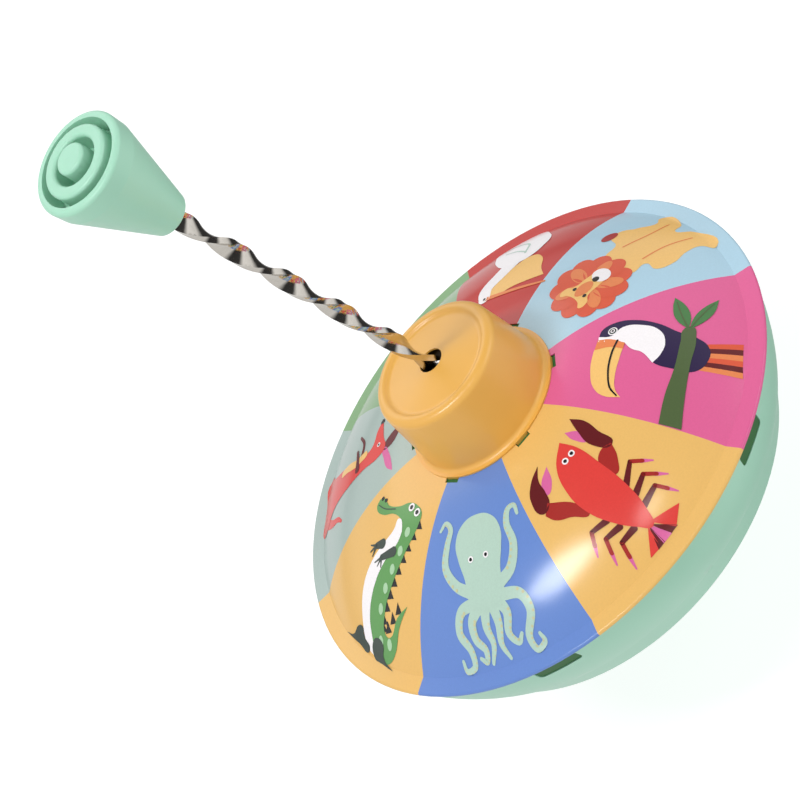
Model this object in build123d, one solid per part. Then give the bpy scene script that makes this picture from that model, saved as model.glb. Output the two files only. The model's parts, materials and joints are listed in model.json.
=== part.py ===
"""Pump-action humming top: two pressed and moulded shells round a twisted steel spindle.

Pushing the knob drives the twisted strip through a slotted plate, and the plate turns the body
through a one-way ratchet. Sizes are in millimetres, +Z runs up the body's axis, and the origin is
the lowest point of the foot. The spindle is modelled drawn out, leaning in its collar towards -X.
"""
import math
import os

from build123d import *

os.makedirs("parts", exist_ok=True)

# Overall sizes
rim_radius = 90.0            # outermost edge of the rolled tin rim
rim_height = 82.0            # top of the rim above the floor
dome_rise = 23.1             # flat seat of the dome above the rim
cap_rise = 24.75             # cap's top above the dome's seat

# Printed tin dome
tin = 0.4
dome_flat_radius = 24.0
brim_width = 5.7             # from the dome's crease to the rim's outermost edge
crease_rise = 0.7
brim_drop = 0.6              # fall of the brim from the crease to the rim
crease_rounding = 5.0
shell_mouth_radius = 20.0
hem_height = 1.6             # rolled edge, top to bottom
hem_lip = 0.3                # flat lower leaf inside the roll
lip_reach = 0.2              # base's lip into the roll, past the roll's centre

# Moulded base
wall = 1.8
ridge_radius = 79.0
ridge_drop = 23.0            # below the rim
bulge = 1.2                  # how far the upper wall swells beyond a straight cone
ridge_step = 1.0
keel_radius = 71.8           # rounded lower edge of the band under the ridge
keel_drop = 34.3
keel_rounding = 2.5
floor_radius = 19.0          # flat middle of the base's underside
floor_height = 9.0           # of that flat above the ground
lip_width = 8.5              # from the rim's outermost edge to the lip's inner edge

# Slots in the base, and the reed ring whose pads fill them
slot_count = 6
slot_length = 15.6
slot_height = 5.0
slot_top_drop = 2.0          # below the rim, hidden by the hem
slot_corner = 1.3
pad_clearance = 0.1          # green pads in the slots, to the slots' edges
pad_recess = 0.3             # pads below the outside of the wall
ring_gap = 0.3               # reed ring to the base's inner wall
ring_depth = 8.5
ring_width = 11.0
ring_sheet = 1.4
window_length = 14.0
window_width = 4.0
reed_thickness = 0.25
reed_width = 3.0
reed_rivet_radius = 0.9
reed_rivet_head_radius = 1.44
reed_rivet_head_height = 0.45

# Yellow cap over the clutch
cap_sheet = 0.6
cap_flange_radius = 27.1
cap_foot_radius = 24.9
cap_top_radius = 22.7
cap_ring_width = 3.3
cap_dish_depth = 1.2
cap_centre_rise = 1.9        # hole's edge above the bottom of the dish
cap_hole_radius = 4.3
cap_foot_rounding = 1.6
cap_shoulder_rounding = 2.6
cap_ring_rounding = 1.4
cap_dish_rounding = 2.0
clench_length = 2.8          # bent end of each tab
tab_count = 6
tab_width = 4.8
tab_bearing = 41.4           # angle of the first tab from +X, in degrees
tab_slot_clearance = 0.3
tab_slot_reach = 1.5         # how far each slot shows beyond its tab

# Clutch housing
housing_flange_radius = 30.0
housing_flange_thickness = 1.6
housing_gap = 0.25           # under the dome's flat seat
cup_radius = 15.9
cup_wall = 1.6
tube_seat_depth = 4.8        # housing's collar round the guide tube
tube_radius = 12.0
tube_wall = 0.6
press_clearance = 0.05

# Ratchet, drive plate and their stack under the cap's hole
pivot_drop = 5.0             # lean pivot below the top of the cap's hole
plate_radius = 7.5
plate_thickness = 1.6
lug_radius = 0.9
lug_reach = 12.0
lug_clearance = 0.08
wheel_clearance = 0.6        # wheel to cup, radially
wheel_pocket_radius = 8.6
wheel_above_pivot = 1.5
wheel_below_pivot = 4.7
tooth_count = 12
tooth_height = 1.2
tooth_ramp_share = 0.45      # share of a tooth's pitch under its slope
tooth_gap = 0.4              # between the two sets of teeth while the spindle is drawn out
washer_inner_radius = 9.5
washer_thickness = 0.6
ring_inner_radius = 10.0
ring_thickness = 1.6

# Spindle: a flat steel strip twisted to the left
strip_width = 5.8
strip_thickness = 2.0
lead = 45.8                  # length of one full turn
strip_bearing = 141.7        # direction of the strip's width at the pivot, in degrees
slot_clearance = 0.12
lean = 10.1                  # degrees from upright while drawn out
stroke = 96.0
tail = 8.5                   # strip below the pivot while drawn out
buffer_gap = 0.4
buffer_radius = 4.5
buffer_thickness = 2.0
stop_thickness = 1.0
ferrule_radius = 3.9
ferrule_wall_gap = 0.03

# Knob, measured up the spindle from the pivot
knob_start = 119.0
knob_length = 36.4
knob_end_radius = 6.5
knob_shoulder_radius = 15.6
knob_shoulder_drop = 6.5
knob_face_radius = 16.0
knob_mouth_radius = 13.6
knob_boss_height = 15.0
knob_cavity_end_radius = 9.3
knob_end_rounding = 1.2
knob_shoulder_rounding = 1.5
knob_rim_rounding_share = 0.55   # of the rim's width
plug_ring_radii = (7.4, 11.3)
plug_disc_radius = 4.9
plug_depth = 6.0             # groove floor below the knob's rim
plug_thickness = 2.4
plug_ring_proud = 1.2
plug_disc_proud = 3.0
plug_clearance = 0.05
plug_rounding = 1.1
knob_washer_radius = 6.5
knob_washer_thickness = 1.0
push_nut_radius = 4.6
push_nut_thickness = 1.2
spindle_above_nut = 1.0

# Foot, its pin and bearing
foot_flat_radius = 3.0
foot_radius = 9.0
foot_shoulder_height = 7.0
foot_gap = 0.8               # foot to the base's underside
foot_rounding = 1.0
shank_radius = 5.4
shank_clearance = 0.8
shank_height = 15.2
bore_radius = 2.9
bore_floor = 3.0
ball_radius = 1.25
pin_radius = 2.0
pin_gap = 0.05
bush_clearance = 0.06
bush_start = 6.9
bush_length = 7.7
clip_start = 6.15
clip_thickness = 0.4
clip_groove_depth = 0.3
clip_clearance = 0.05
clip_bore_gap = 0.4          # clip to the wall of the foot's bore
socket_flange_radius = 18.0
socket_flange_thickness = 1.6
socket_bore_radius = 6.4
socket_wall = 2.0
socket_cavity_height = 16.5
socket_top = 19.0
socket_spigot_height = 2.0
rivet_count = 3
rivet_circle_radius = 15.4
rivet_radius = 1.2
rivet_head_radius = 2.2
rivet_head_height = 0.8

# Cuts run this far past the surface that they open
cut_overrun = 1.0

# Largest share of a wall that the rounding of its edge may take
fillet_limit = 0.8

# Radii and heights that several pieces share
crease_radius = rim_radius - brim_width
lip_inner_radius = rim_radius - lip_width
lip_thickness = hem_height - 2 * tin - 2 * press_clearance
seat_height = rim_height + dome_rise
cap_height = seat_height + cap_rise
hole_height = cap_height - cap_dish_depth + cap_centre_rise
pivot_height = hole_height - pivot_drop
housing_top = seat_height - tin - housing_gap
lip_top = rim_height + crease_rise - brim_drop - tin - press_clearance
base_floor = floor_height + wall
tooth_top = pivot_height - wheel_below_pivot - tooth_height - tooth_gap
cup_floor_top = tooth_top - tooth_height - ring_thickness


def turned(outline):
    """Solid of revolution from a closed outline in (radius, height)."""
    return revolve(Plane.XZ * make_face(outline), Axis.Z)


def turned_points(*points):
    return turned(Polyline(*points, close=True))


def redrawn(edge):
    """The same edge as a plain line or arc, so that it turns into a plain plane, cone or torus."""
    if edge.geom_type == GeomType.LINE:
        return Line(edge @ 0, edge @ 1)
    return ThreePointArc(edge @ 0, edge @ 0.5, edge @ 1)


def pressed(path, thickness):
    """Pressed sheet: a path traced inwards in (radius, height), thickened on its lower side."""
    outline = offset(path, amount=thickness, side=Side.LEFT)
    return turned([redrawn(edge) for edge in outline.edges()])


def ring(inner_radius, outer_radius, low, high):
    return turned_points(
        (inner_radius, low), (outer_radius, low), (outer_radius, high), (inner_radius, high))


def post(radius, low, high):
    return Pos(0, 0, low) * Cylinder(radius, high - low, align=(Align.CENTER, Align.CENTER, Align.MIN))


def block(radial_start, radial_end, width, low, high):
    """Rectangular block lying along +X."""
    corner = (Align.MIN, Align.CENTER, Align.MIN)
    return Pos(radial_start, 0, low) * Box(radial_end - radial_start, width, high - low, align=corner)


def circles_of(shape, radius):
    """Circular edges of one radius."""
    return shape.edges().filter_by(GeomType.CIRCLE).filter_by(
        lambda edge: math.isclose(edge.radius, radius))


def around(shape, count, start=0.0):
    """Copies of one shape spaced evenly round the axis."""
    return [Rot(0, 0, start + 360.0 * index / count) * shape for index in range(count)]


def leaned(shape):
    """Carry a shape from the spindle's own frame, with the pivot at zero, into the leaning spindle."""
    return Pos(0, 0, pivot_height) * Rot(0, -lean, 0) * shape


def twisted_strip(width, thickness, low, high):
    """Flat strip with the spindle's left-hand twist, in the spindle's own frame."""
    start_bearing = strip_bearing - 360.0 * low / lead
    section = Pos(0, 0, low) * Rot(0, 0, start_bearing) * Rectangle(width, thickness)
    sweep_angle = -360.0 * (high - low) / lead
    return Solid.extrude_linear_with_rotation(
        section.face(), (0, 0, low), (0, 0, high - low), sweep_angle)


def ramp_teeth(inner_radius, outer_radius, height):
    """Ring of saw-tooth ramps standing on z = 0: one steep face and one slope on each tooth."""
    pitch = 2 * math.pi * outer_radius / tooth_count
    profile = make_face(Polyline((0, 0), (pitch * tooth_ramp_share, 0), (0, height), close=True))
    tooth = extrude(Plane.XZ * profile, amount=outer_radius + cut_overrun)
    band = ring(inner_radius, outer_radius, 0, height)
    return [(copy & band) for copy in around(tooth, tooth_count)]


def dome_radius_of_curvature():
    span = crease_radius - dome_flat_radius
    fall = dome_rise - crease_rise
    return (span ** 2 + fall ** 2) / (2 * fall)


def make_top_shell():
    """Printed tin dome: flat seat, round shoulder, flat brim, and a hem rolled round the base's lip."""
    curvature = dome_radius_of_curvature()
    halfway = (dome_flat_radius + crease_radius) / 2
    halfway_fall = curvature - math.sqrt(curvature ** 2 - (halfway - dome_flat_radius) ** 2)
    crease = (crease_radius, rim_height + crease_rise)
    hem_radius = hem_height / 2
    brim_edge = (rim_radius - hem_radius, rim_height + crease_rise - brim_drop)
    hem_side = (rim_radius, brim_edge[1] - hem_radius)
    hem_bottom = (rim_radius - hem_radius, brim_edge[1] - hem_height)
    hem_end = (hem_bottom[0] - hem_lip, hem_bottom[1])
    path = (
        Line(hem_end, hem_bottom)
        + ThreePointArc(hem_bottom, hem_side, brim_edge)
        + Line(brim_edge, crease)
        + ThreePointArc(crease, (halfway, seat_height - halfway_fall), (dome_flat_radius, seat_height))
        + Line((dome_flat_radius, seat_height), (shell_mouth_radius, seat_height))
    )
    crease_corner = path.vertices().sort_by_distance((crease[0], 0, crease[1]))
    shell = pressed(fillet(crease_corner[0], crease_rounding), tin)
    slot = block(
        cap_flange_radius - cap_sheet - tab_slot_clearance, cap_flange_radius + tab_slot_reach,
        tab_width + 2 * tab_slot_clearance, seat_height - 3 * tin, seat_height + 3 * tin)
    return shell - around(slot, tab_count, tab_bearing)


def base_wall_radius(drop):
    """Outer radius of the upper wall at a drop below the rim, without its bulge."""
    top_radius = rim_radius - hem_height / 2 - hem_lip - 2 * press_clearance
    share = (drop - hem_height) / (ridge_drop - hem_height)
    return top_radius + (ridge_radius - top_radius) * share


def upper_wall_path(inset):
    """Swelling upper wall of the base from under the hem to the ridge, moved in by inset."""
    middle_drop = (hem_height + ridge_drop) / 2
    return ThreePointArc(
        (base_wall_radius(hem_height) - inset, rim_height - hem_height),
        (base_wall_radius(middle_drop) + bulge - inset, rim_height - middle_drop),
        (ridge_radius - inset, rim_height - ridge_drop))


def make_base_shell():
    """Mint moulded bowl: lip held in the hem, swelling wall with six slots, ridge, band and cone."""
    lip_radius = rim_radius - hem_height / 2 + lip_reach
    lip_bottom = lip_top - lip_thickness
    outer_wall = upper_wall_path(0)
    inner_wall = upper_wall_path(wall)
    ridge = outer_wall @ 1
    band_start = (ridge_radius - ridge_step, rim_height - ridge_drop - ridge_step)
    keel = (keel_radius, rim_height - keel_drop)
    cone_angle = math.atan2(keel[1] - floor_height, keel_radius - floor_radius)
    inner_keel = (keel_radius - wall, keel[1] + wall * math.tan(cone_angle / 2))
    hole_radius = shank_radius + shank_clearance
    outline = (
        Line((lip_inner_radius, lip_top), (lip_radius, lip_top))
        + Line((lip_radius, lip_top), (lip_radius, lip_bottom))
        + Line((lip_radius, lip_bottom), ((outer_wall @ 0).X, lip_bottom))
        + Line(((outer_wall @ 0).X, lip_bottom), outer_wall @ 0)
        + outer_wall
        + Line(ridge, band_start)
        + Line(band_start, keel)
        + Line(keel, (floor_radius, floor_height))
        + Line((floor_radius, floor_height), (hole_radius, floor_height))
        + Line((hole_radius, floor_height), (hole_radius, base_floor))
        + Line((hole_radius, base_floor), (floor_radius - wall * math.tan(cone_angle / 2), base_floor))
        + Line((floor_radius - wall * math.tan(cone_angle / 2), base_floor), inner_keel)
        + Line(inner_keel, inner_wall @ 1)
        + inner_wall
        + Line(inner_wall @ 0, ((inner_wall @ 0).X, lip_bottom))
        + Line(((inner_wall @ 0).X, lip_bottom), (lip_inner_radius, lip_bottom))
        + Line((lip_inner_radius, lip_bottom), (lip_inner_radius, lip_top))
    )
    bowl = turned(outline)
    bowl = fillet(circles_of(bowl, keel_radius), keel_rounding)
    bowl = fillet(circles_of(bowl, ridge_radius), ridge_step)
    slot_middle = rim_height - slot_top_drop - slot_height / 2
    slot_face = Plane.YZ * Pos(0, slot_middle) * RectangleRounded(slot_length, slot_height, slot_corner)
    slot_start = lip_inner_radius - 2 * wall
    slot = Pos(slot_start, 0, 0) * extrude(slot_face, amount=rim_radius - slot_start)
    bowl -= around(slot, slot_count, tab_bearing + 180.0 / tab_count)
    rivet_hole = post(rivet_radius, floor_height - cut_overrun, base_floor + cut_overrun)
    return bowl - around(rivet_hole.moved(Pos(rivet_circle_radius, 0, 0)), rivet_count)


def ring_wall_radius():
    """Outer radius of the reed ring, clear of the base's wall at the ring's lowest point."""
    ring_bottom_drop = rim_height - (lip_top - lip_thickness) + ring_depth
    return base_wall_radius(ring_bottom_drop) - wall - ring_gap


def reed_circle_radius():
    return ring_wall_radius() - ring_width / 2


def pad_band(ring_radius):
    """Band between the reed ring's skirt and just under the outside of the base's wall."""
    face = upper_wall_path(pad_recess)
    return turned([
        face,
        Line(face @ 1, (ring_radius - ring_sheet / 2, (face @ 1).Y)),
        Line((ring_radius - ring_sheet / 2, (face @ 1).Y), (ring_radius - ring_sheet / 2, (face @ 0).Y)),
        Line((ring_radius - ring_sheet / 2, (face @ 0).Y), face @ 0)])


def make_reed_ring():
    """Green ring held by its pads in the base's slots, with a flange that carries the reed windows."""
    top = lip_top - lip_thickness - press_clearance
    outer = ring_wall_radius()
    body = turned_points(
        (outer - ring_width, top), (outer, top), (outer, top - ring_depth),
        (outer - ring_sheet, top - ring_depth), (outer - ring_sheet, top - ring_sheet),
        (outer - ring_width, top - ring_sheet))
    middle = reed_circle_radius()
    window = Pos(middle, 0, top) * Box(window_width, window_length, 4 * ring_sheet)
    hole = post(reed_rivet_radius, top - ring_sheet - cut_overrun, top + cut_overrun)
    hole = hole.moved(Pos(middle, rivet_shift(), 0))
    bearing = tab_bearing + 180.0 / tab_count
    body = body - around(window, slot_count, bearing) - around(hole, slot_count, bearing)
    pad_outline = RectangleRounded(
        slot_length - 2 * pad_clearance, slot_height - 2 * pad_clearance, slot_corner - pad_clearance)
    pad_height = rim_height - slot_top_drop - slot_height / 2
    pad = extrude(Plane.YZ * Pos(0, pad_height) * pad_outline, amount=rim_radius) & pad_band(outer)
    for copy in around(pad, slot_count, bearing):
        body += copy
    return body


def rivet_shift():
    """Distance from the middle of a reed window to its rivet."""
    return window_length / 2 + 2 * reed_rivet_radius


def make_reeds():
    """Brass tongues over the windows, each held by one rivet."""
    top = lip_top - lip_thickness - press_clearance
    length = rivet_shift() + window_length / 2 + reed_rivet_radius
    tongue = Pos(reed_circle_radius(), rivet_shift() + 2 * reed_rivet_radius - length / 2, top) * Box(
        reed_width, length, reed_thickness, align=(Align.CENTER, Align.CENTER, Align.MIN))
    hole = post(reed_rivet_radius, top - cut_overrun, top + cut_overrun)
    hole = hole.moved(Pos(reed_circle_radius(), rivet_shift(), 0))
    return around(tongue - hole, slot_count, tab_bearing + 180.0 / tab_count)


def make_reed_rivets():
    top = lip_top - lip_thickness - press_clearance
    shank = post(reed_rivet_radius, top - ring_sheet, top + reed_thickness)
    reed_top = top + reed_thickness
    head = post(reed_rivet_head_radius, reed_top, reed_top + reed_rivet_head_height)
    rivet = (shank + head).moved(Pos(reed_circle_radius(), rivet_shift(), 0))
    return around(rivet, slot_count, tab_bearing + 180.0 / tab_count)


def make_turret_cap():
    """Yellow tin cap: flange, tapered wall, rounded top ring, shallow dish, and six bent tabs."""
    foot = seat_height + cap_sheet
    dish_edge = cap_top_radius - cap_ring_width - cap_dish_depth
    path = FilletPolyline(
        (cap_flange_radius, foot), (cap_foot_radius, foot), (cap_top_radius, cap_height),
        (cap_top_radius - cap_ring_width, cap_height), (dish_edge, cap_height - cap_dish_depth),
        (cap_hole_radius, hole_height),
        radius=(cap_foot_rounding, cap_shoulder_rounding, cap_ring_rounding, cap_dish_rounding))
    cap = pressed(path, cap_sheet)
    tab_end = housing_top - housing_flange_thickness - cap_sheet - press_clearance
    outer = cap_flange_radius
    upright = block(outer - cap_sheet, outer, tab_width, tab_end, foot)
    clench = block(outer - clench_length, outer, tab_width, tab_end, tab_end + cap_sheet)
    for tab in around(upright + clench, tab_count, tab_bearing):
        cap += tab
    return cap


def make_clutch_housing():
    """Green moulding under the dome: tabbed flange, ratchet cup standing up into the cap, tube socket."""
    flange_bottom = housing_top - housing_flange_thickness
    outer = cup_radius + cup_wall
    cup_top = pivot_height + wheel_above_pivot
    body = turned_points(
        (outer, flange_bottom), (housing_flange_radius, flange_bottom), (housing_flange_radius, housing_top),
        (outer, housing_top), (outer, cup_top), (cup_radius, cup_top), (cup_radius, cup_floor_top),
        (tube_radius + tube_wall + press_clearance, cup_floor_top),
        (tube_radius + tube_wall + press_clearance, cup_floor_top - tube_seat_depth),
        (outer, cup_floor_top - tube_seat_depth))
    slot = block(
        cap_flange_radius - cap_sheet - tab_slot_clearance, cap_flange_radius + press_clearance,
        tab_width + 2 * tab_slot_clearance, flange_bottom - cut_overrun, housing_top + cut_overrun)
    return body - around(slot, tab_count, tab_bearing)


def make_ratchet_ring():
    """Fixed ring of ramps pressed into the cup, which catches the wheel on the down stroke."""
    low = cup_floor_top + press_clearance
    high = cup_floor_top + ring_thickness
    outer = cup_radius - press_clearance
    body = ring(ring_inner_radius, outer, low, high)
    for tooth in ramp_teeth(ring_inner_radius, outer, tooth_height):
        body += Pos(0, 0, high) * tooth
    return body


def make_guide_tube():
    """Thin tube from the cup down to the foot socket, which keeps the spindle's tail off the reeds."""
    low = base_floor + socket_flange_thickness + press_clearance
    return ring(tube_radius, tube_radius + tube_wall, low, cup_floor_top - press_clearance)


def make_foot_socket():
    """Socket riveted inside the base: it holds the foot's pin and centres the guide tube."""
    low = base_floor + press_clearance
    flange_top = base_floor + socket_flange_thickness
    spigot = tube_radius - press_clearance
    spigot_top = flange_top + socket_spigot_height
    outer = socket_bore_radius + socket_wall
    body = turned_points(
        (socket_bore_radius, low), (socket_flange_radius, low), (socket_flange_radius, flange_top),
        (spigot, flange_top), (spigot, spigot_top), (outer, spigot_top),
        (outer, socket_top), (pin_radius, socket_top), (pin_radius, socket_cavity_height),
        (socket_bore_radius, socket_cavity_height))
    hole = post(rivet_radius, low - cut_overrun, flange_top + cut_overrun)
    return body - around(hole.moved(Pos(rivet_circle_radius, 0, 0)), rivet_count)


def make_foot_rivets():
    """Rivets through the base's flat and the socket's flange."""
    flange_top = base_floor + socket_flange_thickness
    shank = post(rivet_radius - press_clearance / 2, floor_height, flange_top)
    lower = post(rivet_head_radius, floor_height - rivet_head_height, floor_height)
    upper = post(rivet_head_radius, flange_top, flange_top + rivet_head_height)
    rivet = (shank + lower + upper).moved(Pos(rivet_circle_radius, 0, 0))
    return around(rivet, rivet_count)


def make_foot_pin():
    """Steel pin that the foot turns on, grooved for its clip."""
    ball_top = bore_floor + 2 * ball_radius
    pin = post(pin_radius, ball_top + pin_gap, socket_top)
    groove_low = clip_start - clip_clearance
    groove_high = clip_start + clip_thickness + clip_clearance
    return pin - ring(pin_radius - clip_groove_depth, pin_radius + cut_overrun, groove_low, groove_high)


def make_foot_clip():
    """Open ring snapped into the pin's groove, which keeps the foot on."""
    high = clip_start + clip_thickness
    inner = pin_radius - clip_groove_depth + clip_clearance
    clip = ring(inner, bore_radius - clip_bore_gap, clip_start, high)
    return clip - block(0, bore_radius, pin_radius, clip_start - cut_overrun, high + cut_overrun)


def make_foot():
    """Moulded foot: rounded cone on the floor and a shank that turns inside the base."""
    top = floor_height - foot_gap
    body = turned_points(
        (0, 0), (foot_flat_radius, 0), (foot_radius, foot_shoulder_height),
        (foot_radius, top), (shank_radius, top), (shank_radius, shank_height),
        (bore_radius, shank_height), (bore_radius, bore_floor), (0, bore_floor))
    shoulder = circles_of(body, foot_radius).sort_by(Axis.Z)[0]
    return fillet(shoulder, min(foot_rounding, (top - foot_shoulder_height) * fillet_limit))


def make_thrust_ball():
    return Pos(0, 0, bore_floor + ball_radius) * Sphere(ball_radius)


def make_foot_bush():
    """Bearing bush pressed into the foot, running on the pin."""
    inner = pin_radius + bush_clearance
    return ring(inner, bore_radius - press_clearance, bush_start, bush_start + bush_length)


def make_ratchet_wheel():
    """Ratchet wheel: ramps below, and a pocket with two slots for the drive plate's lugs."""
    low = pivot_height - wheel_below_pivot
    high = pivot_height + wheel_above_pivot
    outer = cup_radius - wheel_clearance
    wheel = ring(wheel_pocket_radius, outer, low, high)
    slot_width = 2 * (lug_radius + lug_clearance)
    slot_length = 2 * (lug_reach + lug_clearance)
    channel = Pos(0, 0, pivot_height) * Box(
        slot_width, slot_length, high - pivot_height + cut_overrun,
        align=(Align.CENTER, Align.CENTER, Align.MIN))
    cradle = Pos(0, 0, pivot_height) * Rot(90, 0, 0) * Cylinder(slot_width / 2, slot_length)
    wheel -= channel + cradle
    for tooth in ramp_teeth(ring_inner_radius, outer, tooth_height):
        wheel += Pos(0, 0, low) * Rot(180, 0, 0) * tooth
    return wheel


def make_wheel_washer():
    """Washer over the ratchet wheel, which closes the lug slots and runs against the cap."""
    low = pivot_height + wheel_above_pivot + press_clearance
    return ring(washer_inner_radius, cup_radius - wheel_clearance, low, low + washer_thickness)


def make_drive_plate():
    """Slotted steel plate that rocks on two lugs; its slot follows the strip's twist."""
    half = plate_thickness / 2
    lug = Rot(90, 0, 0) * Cylinder(lug_radius, 2 * lug_reach)
    plate = post(plate_radius, -half, half) + lug
    slot = twisted_strip(
        strip_width + 2 * slot_clearance, strip_thickness + 2 * slot_clearance,
        -half - lug_radius, half + lug_radius)
    return leaned(plate - slot)


def stop_stack_top():
    """Top of the stop parts under the drive plate, in the spindle's frame."""
    return -max(plate_thickness / 2, lug_radius) - buffer_gap


def strip_corner_radius():
    return math.hypot(strip_width, strip_thickness) / 2 + ferrule_wall_gap


def make_buffer():
    """Rubber ring that meets the drive plate when the spindle is pulled right out."""
    high = stop_stack_top()
    return leaned(ring(strip_corner_radius(), buffer_radius, high - buffer_thickness, high))


def make_stop_washer():
    high = stop_stack_top() - buffer_thickness
    return leaned(ring(strip_corner_radius(), buffer_radius, high - stop_thickness, high))


def make_end_ferrule():
    """Ferrule crimped on the strip's tail, which carries the stop washer."""
    high = stop_stack_top() - buffer_thickness - stop_thickness - press_clearance
    return leaned(ring(strip_corner_radius(), ferrule_radius, -tail, high))


def boss_top():
    return knob_start + knob_boss_height


def push_nut_start():
    return boss_top() + knob_washer_thickness + 2 * press_clearance


def make_spindle():
    high = push_nut_start() + push_nut_thickness + spindle_above_nut
    return leaned(twisted_strip(strip_width, strip_thickness, -tail, high))


def cavity_radius(height):
    """Radius of the knob's hollow at a height in the spindle's frame."""
    share = (height - boss_top()) / (knob_start + knob_length - boss_top())
    return knob_cavity_end_radius + (knob_mouth_radius - knob_cavity_end_radius) * share


def make_knob():
    """Hollow conical knob, with a boss round the strip and a mouth for its plug."""
    top = knob_start + knob_length
    body = turned_points(
        (strip_corner_radius(), knob_start), (knob_end_radius, knob_start),
        (knob_shoulder_radius, top - knob_shoulder_drop), (knob_face_radius, top), (knob_mouth_radius, top),
        (knob_cavity_end_radius, boss_top()), (strip_corner_radius(), boss_top()))
    rim_rounding = (knob_face_radius - knob_mouth_radius) * knob_rim_rounding_share
    body = fillet(circles_of(body, knob_face_radius), rim_rounding)
    body = fillet(circles_of(body, knob_end_radius), knob_end_rounding)
    return leaned(fillet(circles_of(body, knob_shoulder_radius), knob_shoulder_rounding))


def make_knob_plug():
    """Press-in plug: a disc that closes the knob, with a raised ring and a raised centre."""
    top = knob_start + knob_length
    groove = top - plug_depth
    low = groove - plug_thickness
    inner, outer = plug_ring_radii
    plug = turned_points(
        (0, low), (cavity_radius(low) - plug_clearance, low),
        (cavity_radius(groove) - plug_clearance, groove),
        (outer, groove), (outer, top + plug_ring_proud), (inner, top + plug_ring_proud), (inner, groove),
        (plug_disc_radius, groove), (plug_disc_radius, top + plug_disc_proud), (0, top + plug_disc_proud))
    raised = plug.edges().filter_by(GeomType.CIRCLE).filter_by(lambda edge: edge.center().Z > top)
    return leaned(fillet(raised, plug_rounding))


def make_knob_washer():
    low = boss_top() + press_clearance
    return leaned(ring(strip_corner_radius(), knob_washer_radius, low, low + knob_washer_thickness))


def make_push_nut():
    low = push_nut_start()
    return leaned(ring(strip_corner_radius(), push_nut_radius, low, low + push_nut_thickness))


pieces = {
    "top_shell": make_top_shell,
    "base_shell": make_base_shell,
    "reed_ring": make_reed_ring,
    "reeds": make_reeds,
    "reed_rivets": make_reed_rivets,
    "turret_cap": make_turret_cap,
    "clutch_housing": make_clutch_housing,
    "ratchet_ring": make_ratchet_ring,
    "guide_tube": make_guide_tube,
    "foot_socket": make_foot_socket,
    "foot_rivets": make_foot_rivets,
    "foot_pin": make_foot_pin,
    "foot_clip": make_foot_clip,
    "foot": make_foot,
    "thrust_ball": make_thrust_ball,
    "foot_bush": make_foot_bush,
    "ratchet_wheel": make_ratchet_wheel,
    "wheel_washer": make_wheel_washer,
    "drive_plate": make_drive_plate,
    "buffer": make_buffer,
    "stop_washer": make_stop_washer,
    "end_ferrule": make_end_ferrule,
    "spindle": make_spindle,
    "knob": make_knob,
    "knob_plug": make_knob_plug,
    "knob_washer": make_knob_washer,
    "push_nut": make_push_nut,
}

for name, make in pieces.items():
    shape = make()
    if isinstance(shape, list):
        shape = Compound(children=shape)
    export_step(shape, f"parts/{name}.step")
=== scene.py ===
import json
import math

import bmesh
import bpy
from mathutils import Matrix, Vector


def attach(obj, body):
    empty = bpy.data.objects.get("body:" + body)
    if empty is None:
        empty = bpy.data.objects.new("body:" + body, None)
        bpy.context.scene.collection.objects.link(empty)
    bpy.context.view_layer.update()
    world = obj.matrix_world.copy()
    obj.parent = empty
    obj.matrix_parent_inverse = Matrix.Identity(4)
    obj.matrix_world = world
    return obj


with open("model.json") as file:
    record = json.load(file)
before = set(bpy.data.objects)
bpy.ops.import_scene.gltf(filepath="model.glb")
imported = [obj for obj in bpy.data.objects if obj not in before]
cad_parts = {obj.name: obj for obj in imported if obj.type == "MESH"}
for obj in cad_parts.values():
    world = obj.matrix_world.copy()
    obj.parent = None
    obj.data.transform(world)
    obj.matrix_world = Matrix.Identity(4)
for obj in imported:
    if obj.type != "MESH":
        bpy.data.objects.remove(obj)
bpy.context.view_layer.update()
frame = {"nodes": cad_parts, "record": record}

bpy.ops.object.select_all(action="DESELECT")
MM = 0.001

# ---- Printed dome ----
# Sheet tin, lithographed flat with eight fields of ink, varnished, then pressed to a dome and rolled
# round the base's lip. The varnish lies wet and glossy over flat, slightly grainy ink.


def linear(code):
    """Linear colour from an sRGB hex code."""
    channels = [int(code[place:place + 2], 16) / 255 for place in (0, 2, 4)]
    return (*(c / 12.92 if c <= 0.04045 else ((c + 0.055) / 1.055) ** 2.4 for c in channels), 1.0)


def add_node(tree, kind, settings=None, links=None):
    """Add one shader node; links gives its inputs, each a plain value or another node's output."""
    node = tree.nodes.new("ShaderNode" + kind)
    for name, value in (settings or {}).items():
        setattr(node, name, value)
    for name, value in (links or {}).items():
        if isinstance(value, bpy.types.NodeSocket):
            tree.links.new(value, node.inputs[name])
        else:
            node.inputs[name].default_value = value
    return node


def start_material(name):
    """An empty material with its node tree and the piece's own coordinates, in metres."""
    material = bpy.data.materials.new(name)
    material.use_nodes = True
    material.node_tree.nodes.clear()
    place = add_node(material.node_tree, "TexCoord").outputs["Object"]
    return material, material.node_tree, place


def close_material(tree, shader):
    add_node(tree, "OutputMaterial", links={"Surface": shader.outputs["BSDF"]})


def finish(material, *nodes):
    """Give a material to CAD nodes."""
    for name in nodes:
        for slot in frame["nodes"][name].material_slots:
            slot.material = material


varnish = {"Coat Weight": 0.7, "Coat Roughness": 0.17, "Specular IOR Level": 0.02}
first_field = 22.98  # bearing where the first field starts, in degrees
speck = 0.6 * MM  # width of a speck in the ink
field_inks = ("84ab7c", "a9bbb5", "e8b96a", "6789cd", "e8b96a", "de6296", "aed0e2", "c0352f")

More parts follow.
